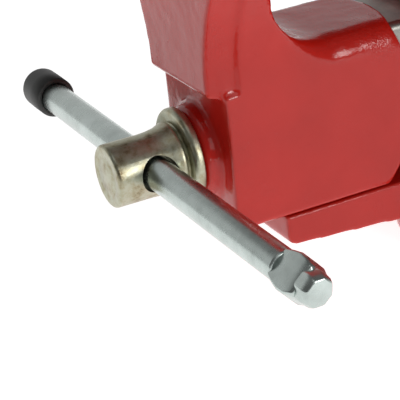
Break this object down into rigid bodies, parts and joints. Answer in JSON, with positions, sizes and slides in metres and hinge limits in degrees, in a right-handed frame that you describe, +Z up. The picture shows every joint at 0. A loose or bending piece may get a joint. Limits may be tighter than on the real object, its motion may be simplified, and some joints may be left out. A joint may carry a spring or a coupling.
{
  "type": "bench vise",
  "caption": "Bench vise with a sliding jaw on a lead screw, a through-bar handle with a rubber cap, screwed-on jaw inserts, a small anvil and a lockable swivel base.",
  "frame": {"origin": "middle of the swivel base's underside, on the swivel axis", "axes": "+Z up along the swivel axis, +X along the lead screw from its head towards the anvil, +Y towards the capped end of the handle"},
  "size_m": [0.344, 0.314, 0.226],
  "materials": {
    "red_paint": "glossy red enamel over rough cast iron",
    "bare_iron": "machined cast iron",
    "yellow_zinc": "forged steel with yellowish zinc plating",
    "bright_zinc": "bright zinc plated steel",
    "black_oxide": "black oxide steel",
    "hard_steel": "ground hardened steel",
    "black_rubber": "matte moulded rubber"
  },
  "bodies": {
    "base": {"swivel_base": "red_paint", "pivot_pin": "hard_steel"},
    "fixed_body": {"fixed_jaw_body": "red_paint", "fixed_insert": "hard_steel", "fixed_insert_screw_near": "black_oxide", "fixed_insert_screw_far": "black_oxide", "screw_nut": "bare_iron", "nut_bolt": "black_oxide", "lock_bolt_near": "black_oxide", "lock_bolt_far": "black_oxide", "lock_washer_near": "bright_zinc", "lock_washer_far": "bright_zinc"},
    "near_lock": {"lock_nut_near": "bright_zinc", "lock_lever_near": "bright_zinc"},
    "far_lock": {"lock_nut_far": "bright_zinc", "lock_lever_far": "bright_zinc"},
    "moving_jaw": {"moving_jaw": "red_paint", "moving_insert": "hard_steel", "moving_insert_screw_near": "black_oxide", "moving_insert_screw_far": "black_oxide"},
    "spindle": {"lead_screw": "yellow_zinc", "screw_spring": "hard_steel", "screw_washer": "bright_zinc", "screw_pin": "black_oxide"},
    "handle": {"handle_bar": "bright_zinc", "handle_cap": "black_rubber"}
  },
  "joints": [
    {"name": "swivel", "type": "hinge", "parent": "base", "child": "fixed_body", "pos_m": [0, 0, 0.034], "axis": [0, 0, 1], "continuous": true},
    {"name": "near_lock_turn", "type": "hinge", "parent": "fixed_body", "child": "near_lock", "pos_m": [0, -0.046, 0.062], "axis": [0, 0, 1], "range_deg": [-70, 70]},
    {"name": "far_lock_turn", "type": "hinge", "parent": "fixed_body", "child": "far_lock", "pos_m": [0, 0.046, 0.062], "axis": [0, 0, 1], "range_deg": [-70, 70]},
    {"name": "jaw_slide", "type": "slide", "parent": "fixed_body", "child": "moving_jaw", "axis": [-1, 0, 0], "range_m": [-0.0117, 0.098]},
    {"name": "spindle_spin", "type": "hinge", "parent": "moving_jaw", "child": "spindle", "pos_m": [-0.228, 0, 0.088], "axis": [-1, 0, 0], "range_deg": [-842, 7055]},
    {"name": "handle_slide", "type": "slide", "parent": "spindle", "child": "handle", "axis": [0, 1, 0], "range_m": [-0.102, 0.122]}
  ],
  "couplings": [
    {"joint": "jaw_slide", "follows": "spindle_spin", "m_per_rad": 0.00079577}
  ]
}
